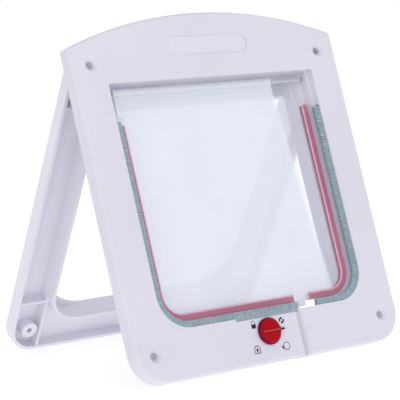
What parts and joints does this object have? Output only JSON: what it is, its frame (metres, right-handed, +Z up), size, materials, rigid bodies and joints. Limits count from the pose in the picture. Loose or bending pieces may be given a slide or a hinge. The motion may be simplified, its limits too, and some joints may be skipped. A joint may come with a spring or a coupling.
{
  "type": "cat flap",
  "caption": "Four-way locking cat flap: arched inner frame with tunnel, brush seal, see-through swinging flap and turn knob, with its outer frame leaning behind.",
  "frame": {"origin": "centre of the footprint on the surface that the two frames stand on", "axes": "+Z up, +X to the right as the inner face is seen, -Y towards the room that the inner face looks into"},
  "size_m": [0.207, 0.177, 0.2088],
  "materials": {
    "frame_plastic": "satin moulded white plastic with a faint lavender tone",
    "clear_plastic": "clear polished plastic",
    "edge_rubber": "smooth crimson weather strip",
    "brush_pile": "grey-teal nylon pile",
    "knob_plastic": "glossy deep red",
    "lock_plastic": "natural white low-friction plastic",
    "steel": "zinc-plated steel",
    "magnet": "dark ferrite"
  },
  "bodies": {
    "root": {"inner_frame": "frame_plastic", "outer_frame": "frame_plastic", "hinge_rod": "steel", "hinge_cap_left": "frame_plastic", "hinge_cap_right": "frame_plastic", "brush_strip_long": "brush_pile", "brush_strip_short": "brush_pile", "lock_cover": "lock_plastic", "cover_screws": "steel", "frame_magnet": "magnet"},
    "flap": {"flap_panel": "clear_plastic", "edge_strip_long": "edge_rubber", "edge_strip_short": "edge_rubber", "flap_magnet": "magnet"},
    "knob": {"lock_knob": "knob_plastic", "lock_pinion": "lock_plastic", "pinion_screw": "steel"},
    "slider": {"lock_slider": "lock_plastic"}
  },
  "joints": [
    {"name": "flap_swing", "type": "hinge", "parent": "root", "child": "flap", "pos_m": [-0.0055, -0.03184, 0.16381], "axis": [1, 0, 0], "range_deg": [-85, 50]},
    {"name": "knob_turn", "type": "hinge", "parent": "root", "child": "knob", "pos_m": [-0.0089, -0.08362, 0.02022], "axis": [0, -0.9581, 0.2864], "range_deg": [-205.5, 26]},
    {"name": "catch_slide", "type": "slide", "parent": "root", "child": "slider", "axis": [1, 0, 0], "range_m": [-0.00204, 0.01613]}
  ],
  "couplings": [
    {"joint": "knob_turn", "follows": "catch_slide", "rad_per_m": -222.22}
  ]
}
